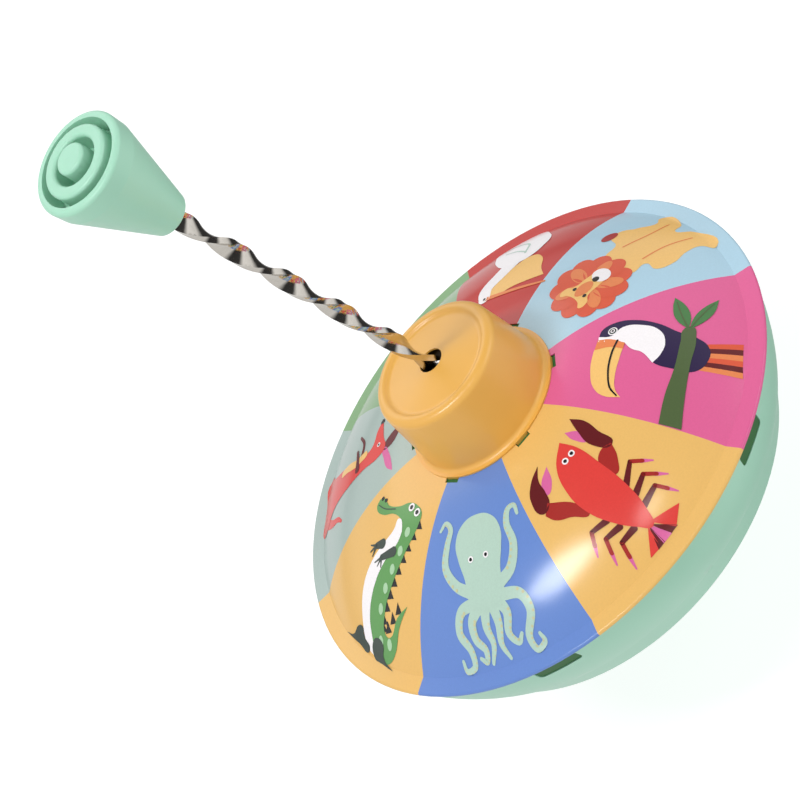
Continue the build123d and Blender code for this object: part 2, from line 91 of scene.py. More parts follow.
tin_print, tree, place = start_material("printed tin, lithographed and varnished")
axes = add_node(tree, "SeparateXYZ", links={"Vector": place})
bearing = add_node(tree, "Math", {"operation": "ARCTAN2"}, {0: axes.outputs["Y"], 1: axes.outputs["X"]})
turn = add_node(tree, "Math", {"operation": "MULTIPLY_ADD"}, {
    0: bearing.outputs["Value"], 1: 1 / math.tau, 2: 1 - first_field / 360})
share = add_node(tree, "Math", {"operation": "FRACT"}, {0: turn.outputs["Value"]})
fields = add_node(tree, "ValToRGB", links={"Fac": share.outputs["Value"]})
fields.color_ramp.interpolation = "CONSTANT"
stops = fields.color_ramp.elements
for number, code in enumerate(field_inks):
    stop = stops[number] if number < 2 else stops.new(number / len(field_inks))
    stop.position = number / len(field_inks)
    stop.color = linear(code)
# Ink lies a little unevenly: fine specks, and slow drift over 40 mm.
specks = add_node(tree, "TexNoise", links={"Vector": place, "Scale": 1 / speck, "Detail": 2.0})
drift = add_node(tree, "TexNoise", links={"Vector": place, "Scale": 1 / (40 * MM), "Detail": 1.0})
speckle = add_node(tree, "MapRange", links={"Value": specks.outputs["Fac"], "To Min": 0.95, "To Max": 1.05})
drifted = add_node(tree, "MapRange", links={"Value": drift.outputs["Fac"], "To Min": 0.97, "To Max": 1.03})
evenness = add_node(tree, "Math", {"operation": "MULTIPLY"}, {
    0: speckle.outputs["Result"], 1: drifted.outputs["Result"]})
inked = add_node(tree, "HueSaturation", links={
    "Color": fields.outputs["Color"], "Value": evenness.outputs["Value"]})
gloss = add_node(tree, "MapRange", links={"Value": specks.outputs["Fac"], "To Min": 0.36, "To Max": 0.44})
ripple = add_node(tree, "Bump", links={
    "Height": drift.outputs["Fac"], "Distance": 0.05 * MM, "Strength": 0.4})
close_material(tree, add_node(tree, "BsdfPrincipled", links={
    "Base Color": inked.outputs["Color"], "Roughness": gloss.outputs["Result"],
    "Normal": ripple.outputs["Normal"], **varnish}))
finish(tin_print, "top_shell")

# ---- Inks and how they are laid ----
# The animals are further plates of ink printed over the fields, so each is a thin film that follows
# the dome. Every plate lies a few hundredths of a millimetre above the one under it.
film = 0.05  # thickness of one film of ink, mm
grid = 3  # spacing of the cuts that let a film bend, mm
dome_flat_radius = 24.0
dome_seat_height = 105.1
crease_radius = 84.3
crease_height = 82.7
dome_span = crease_radius - dome_flat_radius
dome_fall = dome_seat_height - crease_height
dome_curve_radius = (dome_span ** 2 + dome_fall ** 2) / (2 * dome_fall)
dome_centre = Vector((dome_flat_radius, dome_seat_height - dome_curve_radius))
brim_edge = Vector((89.2, 82.1))
crease_rounding = 5.0
patches = []

# The dome runs into the brim through a hollow arc that touches both; its centre is above the sheet.
crease = Vector((crease_radius, crease_height))
brim_line = (brim_edge - crease).normalized()
above_crease = crease + Vector((-brim_line.y, brim_line.x)) * crease_rounding
away = above_crease - dome_centre
along_brim = away.dot(brim_line)
touching = dome_curve_radius + crease_rounding
reach = math.sqrt(along_brim ** 2 - away.length_squared + touching ** 2) - along_brim
hollow_centre = above_crease + brim_line * reach
hollow_start = dome_centre.x + (hollow_centre - dome_centre).normalized().x * dome_curve_radius


def mix_ink(name, code):
    """One ink under the same varnish as the dome."""
    ink, tree, place = start_material(f"{name} ink, varnished")
    specks = add_node(tree, "TexNoise", links={"Vector": place, "Scale": 1 / speck, "Detail": 2.0})
    speckle = add_node(tree, "MapRange", links={
        "Value": specks.outputs["Fac"], "To Min": 0.93, "To Max": 1.07})
    inked = add_node(tree, "HueSaturation", links={
        "Color": linear(code), "Value": speckle.outputs["Result"]})
    gloss = add_node(tree, "MapRange", links={
        "Value": specks.outputs["Fac"], "To Min": 0.36, "To Max": 0.44})
    close_material(tree, add_node(tree, "BsdfPrincipled", links={
        "Base Color": inked.outputs["Color"], "Roughness": gloss.outputs["Result"], **varnish}))
    return ink


def patch(ink, layer, points, sharp=()):
    """A closed patch of ink through points (across, out) of its field in mm; sharp names its corners."""
    outline = bpy.data.curves.new("patch", "CURVE")
    outline.dimensions = "2D"
    outline.fill_mode = "BOTH"
    outline.resolution_u = 6
    spline = outline.splines.new("BEZIER")
    spline.use_cyclic_u = True
    spline.bezier_points.add(len(points) - 1)
    for number, (knot, (across, out)) in enumerate(zip(spline.bezier_points, points)):
        knot.co = (across, out, 0)
        kind = "VECTOR" if sharp == "all" or number in sharp else "AUTO"
        knot.handle_left_type = knot.handle_right_type = kind
    outline.materials.append(ink)
    piece = bpy.data.objects.new("patch", outline)
    piece.location.z = layer * film
    bpy.context.collection.objects.link(piece)
    patches.append(piece)


def dot(ink, layer, across, out, radius, length=None, turn=0.0):
    """A round or oval dot of ink; length is half its size across the turned direction."""
    bpy.ops.mesh.primitive_circle_add(
        vertices=28, radius=radius, fill_type="NGON", location=(across, out, layer * film),
        rotation=(0, 0, math.radians(turn)))
    bpy.context.object.scale.y = (length or radius) / radius
    bpy.context.object.data.materials.append(ink)
    patches.append(bpy.context.object)


def smooth_path(knots, steps):
    """Points of a smooth path through knots (across, out)."""
    knots = [Vector(knot) for knot in knots]
    ends = [2 * knots[0] - knots[1], *knots, 2 * knots[-1] - knots[-2]]
    path = []
    for before, start, end, after in zip(ends, ends[1:], ends[2:], ends[3:]):
        bow = 2 * before - 5 * start + 4 * end - after
        swing = 3 * start - before - 3 * end + after
        for step in range(steps):
            t = step / steps
            path.append(0.5 * (2 * start + (end - before) * t + bow * t ** 2 + swing * t ** 3))
    return [*path, ends[-2]]


def stroke(ink, layer, knots, first_width, last_width):
    """A brush stroke along knots (across, out) that changes evenly from its first width to its last."""
    path = smooth_path(knots, steps=7)
    corners = []
    for number, point in enumerate(path):
        ahead, behind = path[min(number + 1, len(path) - 1)], path[max(number - 1, 0)]
        along = (ahead - behind).normalized()
        half = (first_width + (last_width - first_width) * number / (len(path) - 1)) / 2
        side = Vector((-along.y, along.x)) * half
        corners += [(*(point + side), 0), (*(point - side), 0)]
    ribbon = bpy.data.meshes.new("stroke")
    ribbon.from_pydata(corners, [], [(n, n + 1, n + 3, n + 2) for n in range(0, len(corners) - 2, 2)])
    ribbon.materials.append(ink)
    piece = bpy.data.objects.new("stroke", ribbon)
    piece.location.z = layer * film
    bpy.context.collection.objects.link(piece)
    patches.append(piece)
    for end, width in ((path[0], first_width), (path[-1], last_width)):
        dot(ink, layer, end.x, end.y, width / 2)
    return path


def lay_print(name, field_bearing):
    """Join the patches, cut them to a grid so that they can bend, and lay them on the dome.

    Laying them on turns them over, so their faces are first made to point down.
    """
    bpy.ops.object.select_all(action="DESELECT")
    for piece in patches:
        piece.select_set(True)
    bpy.context.view_layer.objects.active = patches[0]
    bpy.ops.object.convert(target="MESH")
    bpy.ops.object.transform_apply()
    bpy.ops.object.join()
    animal = bpy.context.object
    animal.name = animal.data.name = name
    patches.clear()
    bpy.ops.object.mode_set(mode="EDIT")
    for line in range(-36, 90, grid):
        for across_line in ((1, 0, 0), (0, 1, 0)):
            bpy.ops.mesh.select_all(action="SELECT")
            bpy.ops.mesh.bisect(plane_co=(line, line, 0), plane_no=across_line)
    bpy.ops.object.mode_set(mode="OBJECT")
    mesh = bmesh.new()
    mesh.from_mesh(animal.data)
    bmesh.ops.reverse_faces(mesh, faces=[face for face in mesh.faces if face.normal.z > 0])
    normals = []
    for point in mesh.verts:
        across, out, depth = point.co
        radius = math.hypot(across, out)
        angle = math.radians(field_bearing) + math.atan2(across, out)
        if radius < hollow_start:
            slope = math.asin((radius - dome_centre.x) / dome_curve_radius)
            height = dome_centre.y + dome_curve_radius * math.cos(slope)
        else:
            slope = math.asin((hollow_centre.x - radius) / crease_rounding)
            height = hollow_centre.y - crease_rounding * math.cos(slope)
        bearing = Vector((math.cos(angle), math.sin(angle), 0))
        normal = Vector((*(bearing * math.sin(slope)).xy, math.cos(slope)))
        point.co = (Vector((*(bearing * radius).xy, height)) + normal * (depth + film)) * MM
        normals.append(normal)
    mesh.to_mesh(animal.data)
    mesh.free()
    bpy.ops.object.shade_smooth()
    animal.data.normals_split_custom_set_from_vertices(normals)
    animal.select_set(False)
    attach(animal, "top_body")


white = mix_ink("white", "f6f2f4")
black = mix_ink("black", "1b1a1c")
red = mix_ink("red", "dd3f39")
deep_red = mix_ink("deep red", "a62824")
maroon = mix_ink("maroon", "621419")
pink = mix_ink("pink", "d8659f")
sage = mix_ink("sage", "b3cfc0")
sand = mix_ink("sand", "c8c79c")
yellow = mix_ink("yellow", "f2c273")
orange = mix_ink("orange", "e5854e")
rust = mix_ink("rust", "d95637")
navy = mix_ink("navy", "2a1b45")
bark = mix_ink("bark green", "50633c")
leaf = mix_ink("leaf green", "487a45")
scale_green = mix_ink("scale green", "5f9a55")
pale_green = mix_ink("pale green", "a9cfa6")
slate = mix_ink("slate", "3b4740")


def eye(across, out, radius):
    """A plain eye: a white dot with a black one on it."""
    dot(white, 3, across, out, radius)
    dot(black, 4, across, out, radius * 0.55)


# ---- Lobster ----
# Printed in red, deep red, maroon and pink on a yellow field. A plain leaf-shaped body with two
# jointed claws, three pairs of legs and a fan tail.
patch(red, 2, ((3.6, 41), (-3, 46), (-7, 54), (-8, 62), (-6, 70), (-2.5, 76), (0.5, 79), (3.5, 75),
               (5.6, 67), (6, 56), (5.6, 47)), sharp=(0,))
patch(maroon, 1, ((-16.5, 51.5), (-15.6, 45.5), (-11.5, 41.8), (-6, 39.8), (-9.4, 43.6), (-10.6, 47.5),
                  (-13, 51.5)), sharp=(3,))
patch(maroon, 1, ((8.8, 50.5), (9.6, 43.5), (11.2, 38), (13.4, 43), (13.4, 49), (12.8, 55.5)), sharp=(2,))
patch(pink, 0, ((-11.2, 49), (-10, 45.4), (-4.4, 42.6), (-7.4, 47.8)), sharp=(2,))
patch(pink, 0, ((9.6, 48.5), (6.8, 44.5), (6.9, 40), (9.9, 44)), sharp=(2,))
patch(deep_red, 1, ((-16.4, 52.5), (-13, 50.6), (-8, 58), (-7.6, 63.5), (-12, 59.5), (-15.6, 56)),
      sharp=(0, 1))
patch(deep_red, 1, ((5.6, 56.5), (9.5, 54), (12.8, 55), (10.5, 59.5), (5.8, 62.5)), sharp=(2,))
legs = (
    ((-6.5, 68.6), (-12, 67), (-16.6, 72)), ((-5.6, 72.4), (-11, 71.2), (-15, 77.2)),
    ((-3.4, 75.6), (-9, 75.2), (-12.4, 81.6)), ((5.4, 66.8), (11.6, 63.2), (16, 67.8)),
    ((5, 70.4), (11, 68.4), (15.4, 73.2)), ((3.8, 74), (10.4, 72.8), (13.2, 78)))
for hip, knee, toe in legs:
    stroke(maroon, 1, (hip, knee), 1.9, 1.3)
    stroke(deep_red, 1, (knee, Vector(knee).lerp(Vector(toe), 0.55)), 1.3, 1.2)
    stroke(pink, 0, (Vector(knee).lerp(Vector(toe), 0.5), toe), 1.4, 0.5)
tail = (
    (red, ((-0.5, 78), (-7.4, 83), (-3, 83.4))), (maroon, ((-0.2, 78), (-4, 83.4), (-1, 83.45))),
    (pink, ((0, 77.5), (-1.6, 83.45), (2.2, 83.45))), (maroon, ((0.4, 78), (1.8, 83.4), (5.2, 83.3))),
    (red, ((0.8, 77.6), (4.6, 83.3), (10.6, 80.2))))
for blade_ink, blade in tail:
    patch(blade_ink, 1, blade, sharp="all")
eye(0.2, 47, 1.1)
eye(3.2, 47, 1.1)
lay_print("lobster_print", 225.48)

# ---- Octopus ----
# Printed in sage with sand-coloured suckers on a blue field. A round head, two arms held up and six
# trailing ones, each a tapering brush stroke.
arm_root, arm_tip = 3.6, 1.1  # widths
patch(sage, 1, ((1, 41.6), (-4.6, 43.4), (-7.6, 48.5), (-7.2, 54), (-5.8, 60), (-5.6, 66), (-3, 70),
                (1, 70.6), (5, 70), (7.6, 66), (7.8, 60), (9.2, 54), (9.6, 48.5), (6.6, 43.4)))
arms = (
    ((-4.5, 64), (-9.5, 60.5), (-12.6, 54.5), (-11, 48), (-9.2, 43.6), (-11, 40.8), (-13.2, 42.6)),
    ((6.5, 64), (11.5, 60.5), (13.6, 54), (12, 48), (12.6, 43.6), (15, 42.6), (16, 45.4)),
    ((-4, 67), (-9.6, 68), (-12, 73), (-9.6, 78), (-10, 82), (-13.4, 82.4), (-13.8, 79.8)),
    ((-3, 68.5), (-6.4, 71.5), (-6.6, 76), (-4.2, 79.2), (-5, 82), (-6.8, 80.8)),
    ((-0.6, 69), (-1.6, 74), (-0.8, 78.5), (-3, 82.8)),
    ((2.4, 69), (3, 74), (2, 79), (3.6, 82.8)),
    ((4.8, 68.5), (6.8, 72), (5.6, 77), (8, 79.8), (9.8, 78)),
    ((6, 67), (12.6, 68), (14.8, 73), (12, 79), (13.4, 82.6), (16.4, 81), (15.6, 79)))
for arm in arms:
    path = stroke(sage, 1, arm, arm_root, arm_tip)
    for number in range(6, len(path) - 3, 2):
        along = (path[number + 1] - path[number - 1]).normalized()
        width = arm_root + (arm_tip - arm_root) * number / (len(path) - 1)
        edge = path[number] + Vector((along.y, -along.x)) * width * 0.3
        dot(sand, 2, edge.x, edge.y, width * 0.15)
eye(-2.4, 54.8, 1.0)
eye(3.4, 54.8, 1.0)
lay_print("octopus_print", 180.48)

# ---- Toucan ----
# Printed in navy, white, yellow and orange on a pink field, perched on a green branch with two
# leaves. The tail is four striped feathers below the branch.
patch(yellow, 1, ((-15, 51), (-13.6, 46), (-10, 42.6), (-4, 41.2), (3, 41.6), (5.4, 42.2), (4.6, 51.4),
                  (-1, 50.2), (-7, 49.2), (-12, 49.4)), sharp=(0, 5, 6))
patch(orange, 2, ((4.4, 42), (8, 42.8), (7.4, 47), (5, 51.6), (2.8, 51.2), (4.4, 47)), sharp=(0, 1, 3, 4))
stroke(black, 3, ((-14.2, 49.8), (-10.5, 47.6), (-4, 47), (2, 47.8), (6.4, 49.2)), 0.5, 0.7)
patch(navy, 1, ((8.6, 43), (11.6, 43.8), (13.8, 48), (13.6, 54), (11, 61), (7, 67), (4.4, 72), (1, 75),
                (-4, 75), (-8, 71.6), (-6.6, 65.6), (-4, 60.4), (1, 57), (6, 50)), sharp=(0,))
patch(white, 2, ((7.4, 43), (9.2, 43), (8.6, 47), (11.4, 50.4), (11.2, 56), (8.4, 61.4), (3.6, 63.4),
                 (-1, 62.4), (-4, 60.2), (0.4, 57), (2.4, 53.6), (5.2, 51.4)), sharp=(0, 1, 8, 11))
dot(white, 3, 10.4, 47.4, 1.5)
dot(slate, 4, 10.4, 47.4, 1.15)
dot(white, 5, 10.4, 47.4, 0.7)
dot(black, 6, 10.4, 47.4, 0.4)
patch(bark, 3, ((-25.4, 61.7), (-16, 63.7), (-6, 66.4), (3, 67.6), (8.4, 68.4), (9, 70.4), (5, 71.6),
                (-6, 70.4), (-17, 69), (-27.6, 67.6)), sharp=(0, 9))
patch(leaf, 3, ((8, 69.4), (12, 65.8), (17, 64.4), (21.4, 64.4), (18, 67.6), (13, 69.6)), sharp=(0, 3))
patch(leaf, 3, ((8, 69.6), (13, 70.6), (17, 72.8), (20.2, 76), (14.6, 75.4), (10.4, 72.8)), sharp=(0, 3))
stroke(bark, 4, ((8.6, 69.2), (14, 67), (19.4, 65.2)), 0.5, 0.3)
stroke(bark, 4, ((8.6, 69.9), (13.6, 72.4), (18.4, 75)), 0.5, 0.3)
root_width, end_width = 1.55, 2.1  # of one tail feather
for number, feather in enumerate((orange, maroon, rust, orange, maroon, rust)):
    left = -7.4 + root_width * number
    spread = -10 + end_width * number
    patch(feather, 0, ((left, 72), (left + root_width, 72), (spread + end_width, 83.3), (spread, 83.3)),
          sharp="all")
lay_print("toucan_print", 270.48)

# ---- Lion ----
# Printed in rust, orange and yellow on a light blue field. The mane is two rings of petals round a
# plain face, over a seated body.
face_across, face_out, petals = -2, 49, 11
patch(yellow, 0, ((-10, 60), (-9.6, 65), (-14.6, 65.4), (-16, 70), (-13.6, 76), (-13.4, 80), (-17, 82.8),
                  (-4, 83.3), (0, 80), (3, 83.3), (13, 82), (10, 79), (12.4, 74), (14, 67), (8, 65),
                  (5.6, 60)))
stroke(orange, 1, ((-6.6, 66), (-6.2, 74), (-7.4, 81)), 0.6, 0.5)
stroke(orange, 1, ((5, 66), (4.6, 74), (6, 81)), 0.6, 0.5)
stroke(yellow, 0, ((11, 74), (14.4, 71), (15, 68)), 1.2, 0.9)
dot(deep_red, 1, 15.2, 66.6, 2.2, 2.7)
for number in range(petals):
    angle = math.tau * (number + 0.5) / petals
    dot(rust, 2, face_across + 9 * math.sin(angle), face_out - 7.8 * math.cos(angle), 4.3, 5.6,
        math.degrees(angle))
for number in range(petals):
    angle = math.tau * number / petals
    dot(orange if number % 2 else rust, 3, face_across + 7.4 * math.sin(angle),
        face_out - 6.6 * math.cos(angle), 2.3, 4.6, math.degrees(angle))
patch(yellow, 4, ((-7.6, 41), (-5, 42.4), (1, 42.4), (3.6, 41), (4.2, 44), (2, 46), (1.4, 51), (0.4, 55),
                  (-2, 56.2), (-4.4, 55), (-5.4, 51), (-6, 46), (-8.2, 44)))
patch(orange, 5, ((-3, 44), (-1, 44), (-0.6, 50), (-3.4, 50)))
dot(white, 5, face_across, 54, 3.6, 2.8)
patch(black, 6, ((-3.2, 51.4), (-0.8, 51.4), (-2, 53)))
for side in (-1, 1):
    dot(black, 6, face_across + 2.9 * side, 45.4, 0.7)
lay_print("lion_print", 315.48)

# ---- Pelican ----
# Printed in white and yellow on a red field: a long bill with its pouch, a curved neck and a round
# body with one folded wing.
patch(yellow, 1, ((-17, 46), (-6, 45.6), (5, 44.6), (2, 52), (-2.4, 57.6), (-8, 60.4), (-13, 57), (-15, 50)),
      sharp=(0,))
stroke(orange, 2, ((-18.4, 42), (-8, 43.2), (5, 44.4)), 0.8, 1.8)
patch(white, 2, ((-10, 66), (-8, 61.6), (-2, 59), (4, 60), (9, 64.6), (13, 71), (15.6, 79), (8, 82.4),
                 (-1, 81.6), (-7, 76), (-10.4, 70)))
stroke(white, 2, ((6.2, 45), (6.8, 50), (3, 56), (-1, 63)), 4.6, 8)
stroke(sage, 3, ((-3, 65), (-1, 72), (6, 76), (13, 77.4)), 0.9, 0.5)
stroke(sage, 3, ((-2.4, 66), (3, 69.6), (9, 72)), 0.8, 0.4)
eye(6, 44.6, 1.0)
lay_print("pelican_print", 0.48)

# ---- Sea turtle ----
# Printed in greens on the green field, seen from above: an oval shell with rows of plates, four
# flippers and a head.
for side in (-1, 1):
    dot(leaf, 0, 11 * side, 54, 2.6, 7, 50 * side)
    dot(leaf, 0, 8.6 * side, 72, 2.2, 4.6, -40 * side)
dot(leaf, 0, 0, 47, 3.1, 4.2)
dot(bark, 1, 0, 62.5, 9.6, 12.6)
for row, (out, count) in enumerate(((54.4, 2), (59.8, 3), (65.2, 2), (70.6, 1))):
    for number in range(count):
        dot(pale_green, 2, 5 * (number - (count - 1) / 2), out, 2.1, 2.3)
for side in (-1, 1):
    dot(black, 1, 1.7 * side, 45.2, 0.5)
lay_print("turtle_print", 45.48)

# ---- Fox ----
# Printed in red on the teal-grey field: a seated fox from the side, with two tall ears, a pale bib
# and a raised tail.
patch(red, 1, ((-11.6, 44), (-4, 42.4), (1, 41), (3.4, 44), (4.2, 52), (5.6, 62), (7, 72), (11, 82),
               (0, 83.2), (-13, 83), (-8, 76), (-4.6, 66), (-2.6, 57), (-1.6, 50), (-3.4, 47.6), (-8, 46.4)),
      sharp=(0,))
patch(maroon, 0, ((1.4, 42), (-2.6, 39.4), (-5.4, 34.4), (-1.4, 35.4), (1.8, 39)), sharp=(2,))
patch(pink, 0, ((1, 41.6), (4.4, 38.4), (8.6, 36.8), (12, 36), (10, 38.8), (5.8, 40.8)), sharp=(3,))
patch(yellow, 2, ((-1.8, 50.6), (0.2, 55), (-1.2, 63), (-3.4, 68), (-4.2, 63), (-2.6, 57)))
stroke(maroon, 3, ((2, 56), (-2, 56.4), (-6, 57.4)), 2.4, 1.0)
stroke(maroon, 0, ((-1, 54.4), (-7, 53.8), (-11.6, 57)), 1.8, 1.0)
stroke(red, 0, ((8, 79), (12, 73), (13.6, 68), (15.8, 65)), 3.6, 1.0)
patch(black, 2, ((-11.8, 44), (-10.4, 43.3), (-10.2, 45)))
eye(-1.6, 44.4, 0.8)
lay_print("fox_print", 90.48)

# ---- Crocodile ----
# Printed in green with a white belly and black back plates on a yellow field, standing upright with
# its tail curled up behind.
patch(scale_green, 1, (
    (-14.4, 45), (-13.2, 42.6), (-8, 43.2), (-2.6, 41.2), (1, 38.4), (4.6, 37.6), (8.6, 38.6), (10, 42),
    (10.2, 52), (9.8, 62), (10, 70), (12.4, 75.4), (15.4, 75), (16.6, 69), (19.8, 64), (18.6, 71),
    (18.8, 78), (15.6, 82.4), (8, 83.2), (3.6, 80), (0.6, 72), (0.6, 62), (3, 54), (4.4, 48.4), (2, 44.8), (-3, 44.2),
    (-9, 46.8), (-13, 46.8)), sharp=(14,))
patch(white, 2, ((0, 44.4), (3.4, 45.8), (4.8, 50), (2.4, 57), (1, 65), (2.4, 74), (6.8, 80.4), (8.6, 83.2),
                 (3.4, 82), (-1.8, 76), (-5, 68), (-4.4, 60), (-1.6, 53), (0.2, 48)), sharp=(7,))
plate_spacing = 3.75
for number in range(9):
    out = 40.6 + plate_spacing * number
    patch(black, 0, ((9.4, out), (12.6, out + 1.9), (9.4, out + 3.4)), sharp="all")
for across, out in ((11.2, 73.4), (13.6, 72.6), (15, 69.4), (16.4, 66)):
    patch(black, 0, ((across - 1, out + 2.6), (across - 1.6, out - 1), (across + 1.8, out + 1)), sharp="all")
for across, out in ((7.2, 46), (7.9, 52), (7.6, 58), (7.4, 64), (7.8, 70), (11, 78), (15.6, 77)):
    patch(pale_green, 2, ((across - 1.2, out - 1.2), (across + 1, out - 0.2), (across, out + 1.6)))
for shoulder, wrist, fingers in (((4.6, 53.6), (0, 57.4), ((-2.6, 60), (-0.6, 60.4), (1.4, 60))),
                                 ((-2.2, 53.8), (-5, 55.6), ((-8, 56.6), (-7, 58.4), (-5, 59)))):
    stroke(slate, 3, (shoulder, wrist), 3.2, 2.0)
    for finger in fingers:
        stroke(slate, 3, (wrist, finger), 1.0, 0.4)
patch(slate, 3, ((-11, 83.2), (-6, 82), (-3.6, 79), (-1, 78.4), (1, 80.4), (5, 82.6), (-2, 83.3)),
      sharp=(0,))
patch(slate, 3, ((8, 83.3), (6.4, 80), (9, 77.8), (12.4, 78.8), (13, 81.4), (19, 83), (13, 83.4)),
      sharp=(5,))
stroke(slate, 3, ((-13.4, 45.2), (-9, 44.8), (-4, 42.8)), 0.35, 0.35)
eye(3, 39.2, 1.35)
eye(6.6, 39.4, 1.35)
dot(black, 2, -13, 42.8, 0.7)
dot(black, 2, -11, 42.6, 0.7)
lay_print("crocodile_print", 135.48)

# ---- Base and its fittings ----
# The bowl is mint polypropylene, injection moulded: smooth, satin, and slightly milky at its edges.
# The reed ring, whose pads fill the slots, the clutch housing and the foot's socket are moulded in dark
# green; that dark green is painted shade, standing for the unlit inside seen through the slots.


def moulded_plastic(name, code, roughness, coat):
    """Satin moulding: a fine eggshell surface, slow drift of colour and a soft bloom."""
    plastic, tree, place = start_material(name)
    drift = add_node(tree, "TexNoise", links={"Vector": place, "Scale": 1 / (30 * MM), "Detail": 2.0})
    eggshell = add_node(tree, "TexNoise", links={"Vector": place, "Scale": 1 / (0.7 * MM), "Detail": 3.0})
    value = add_node(tree, "MapRange", links={
        "Value": drift.outputs["Fac"], "To Min": 0.965, "To Max": 1.035})
    colour = add_node(tree, "HueSaturation", links={"Color": linear(code), "Value": value.outputs["Result"]})
    satin = add_node(tree, "MapRange", links={
        "Value": eggshell.outputs["Fac"], "To Min": roughness - 0.04, "To Max": roughness + 0.04})
    texture = add_node(tree, "Bump", links={
        "Height": eggshell.outputs["Fac"], "Distance": 0.01 * MM, "Strength": 0.4})
    close_material(tree, add_node(tree, "BsdfPrincipled", links={
        "Base Color": colour.outputs["Color"], "Roughness": satin.outputs["Result"],
        "Normal": texture.outputs["Normal"], "IOR": 1.49, "Specular IOR Level": 0.4,
        "Subsurface Weight": 0.12, "Subsurface Radius": (0.8, 1.2, 1.0), "Subsurface Scale": 1.5 * MM,
        "Coat Weight": coat, "Coat Roughness": 0.3}))
    return plastic


mint = moulded_plastic("mint polypropylene, injection moulded", "a3d6bd", 0.4, 0.15)
# Painted shade: this dark green fills the slots where only the dark inside would show.
green = moulded_plastic("green polypropylene, injection moulded", "2c6a33", 0.5, 0.0)
finish(mint, "base_shell")
finish(green, "reed_ring", "clutch_housing", "foot_socket")

# ---- Cap ----
# Pressed tin with a coat of warm yellow lacquer, clenched to the dome by six tabs. The lacquer is
# satin, and its tone drifts a little at random.
lacquer, tree, place = start_material("yellow tin, pressed and lacquered")
cloud = add_node(tree, "TexNoise", links={"Vector": place, "Scale": 1 / (14 * MM), "Detail": 2.0})
orange_peel = add_node(tree, "TexNoise", links={"Vector": place, "Scale": 1 / (1.1 * MM), "Detail": 2.0})
shade = add_node(tree, "MapRange", links={"Value": cloud.outputs["Fac"], "To Min": 0.96, "To Max": 1.04})
colour = add_node(tree, "HueSaturation", links={
    "Color": linear("e6ad4c"), "Value": shade.outputs["Result"]})
satin = add_node(tree, "MapRange", links={
    "Value": orange_peel.outputs["Fac"], "To Min": 0.38, "To Max": 0.46})
peel = add_node(tree, "Bump", links={
    "Height": orange_peel.outputs["Fac"], "Distance": 0.012 * MM, "Strength": 0.4})
close_material(tree, add_node(tree, "BsdfPrincipled", links={
    "Base Color": colour.outputs["Color"], "Roughness": satin.outputs["Result"],
    "Normal": peel.outputs["Normal"], "Coat Weight": 0.4, "Coat Roughness": 0.2}))
finish(lacquer, "turret_cap")

# ---- Spindle ----
# Flat steel strip, cold rolled, twisted and bright plated: mirror-like on its flats, with fine
# scuffs where the drive plate runs along it. The plate, washers and pins are plainer steel.


def worked_metal(name, code, smooth, rough, scuff_size):
    """Bare metal whose scuffs are scuff_size mm apart."""
    metal, tree, place = start_material(name)
    scuffs = add_node(tree, "TexNoise", links={
        "Vector": place, "Scale": 1 / (scuff_size * MM), "Detail": 5.0, "Roughness": 0.6})
    tarnish = add_node(tree, "MapRange", links={
        "Value": scuffs.outputs["Fac"], "To Min": 0.86, "To Max": 1.1})
    colour = add_node(tree, "HueSaturation", links={
        "Color": linear(code), "Value": tarnish.outputs["Result"]})
    worn = add_node(tree, "MapRange", links={
        "Value": scuffs.outputs["Fac"], "To Min": smooth, "To Max": rough})
    scratch = add_node(tree, "Bump", links={
        "Height": scuffs.outputs["Fac"], "Distance": 0.01 * MM, "Strength": 0.3})
    close_material(tree, add_node(tree, "BsdfPrincipled", links={
        "Base Color": colour.outputs["Color"], "Metallic": 1.0, "Roughness": worn.outputs["Result"],
        "Normal": scratch.outputs["Normal"]}))
    return metal


finish(worked_metal("steel strip, cold rolled and bright plated", "cfcac2", 0.06, 0.2, 1.6), "spindle")
steel = worked_metal("steel, turned and ground", "a5a5a8", 0.25, 0.4, 0.8)
tinplate = worked_metal("tinplate, rolled", "b8b8ba", 0.3, 0.42, 2.0)
brass = worked_metal("brass, rolled", "cba552", 0.22, 0.36, 1.0)

# ---- Knob ----
# Hollow cone of the same mint polypropylene, closed by a pressed-in plug with a raised ring and
# centre. A washer and a push nut inside hold it on the spindle.
finish(mint, "knob", "knob_plug")

# ---- Ratchet, reeds and foot ----
# What works inside: black nylon for the ratchet, brass for the reeds and the bush, steel for the pins
# and plates, rubber for the buffer and mint plastic for the foot that the top spins on.
nylon = moulded_plastic("black nylon, injection moulded", "161617", 0.5, 0.0)
rubber = moulded_plastic("black rubber, moulded", "202021", 0.75, 0.0)
hidden = {"black_plastic": nylon, "steel": steel, "tube_tin": tinplate, "brass": brass, "rubber": rubber}
for part in frame["record"]["subparts"]:
    if part["material_slot"] in hidden:
        finish(hidden[part["material_slot"]], part["node"])
finish(mint, "foot")

# ---- Floor and lights ----
# White paper under a wide, even sky that also lights from below. What gloss reflects is darker at the
# top and striped below, so that the steel shows bands. A long soft box lights the dome and its crease.
bpy.ops.mesh.primitive_plane_add(size=8.0)
floor = bpy.context.object
floor.name = "studio floor"
paper, tree, place = start_material("white paper, seamless")
fibres = add_node(tree, "TexNoise", links={"Vector": place, "Scale": 1 / (400 * MM), "Detail": 2.0})
tone = add_node(tree, "MapRange", links={"Value": fibres.outputs["Fac"], "To Min": 0.985, "To Max": 1.0})
sheet = add_node(tree, "HueSaturation", links={"Color": linear("a8a8a8"), "Value": tone.outputs["Result"]})
close_material(tree, add_node(tree, "BsdfPrincipled", links={
    "Base Color": sheet.outputs["Color"], "Roughness": 1.0, "Specular IOR Level": 0.0,
    "Emission Color": linear("ffffff"), "Emission Strength": 0.75}))
floor.data.materials.append(paper)
floor.visible_glossy = False
floor.visible_diffuse = False

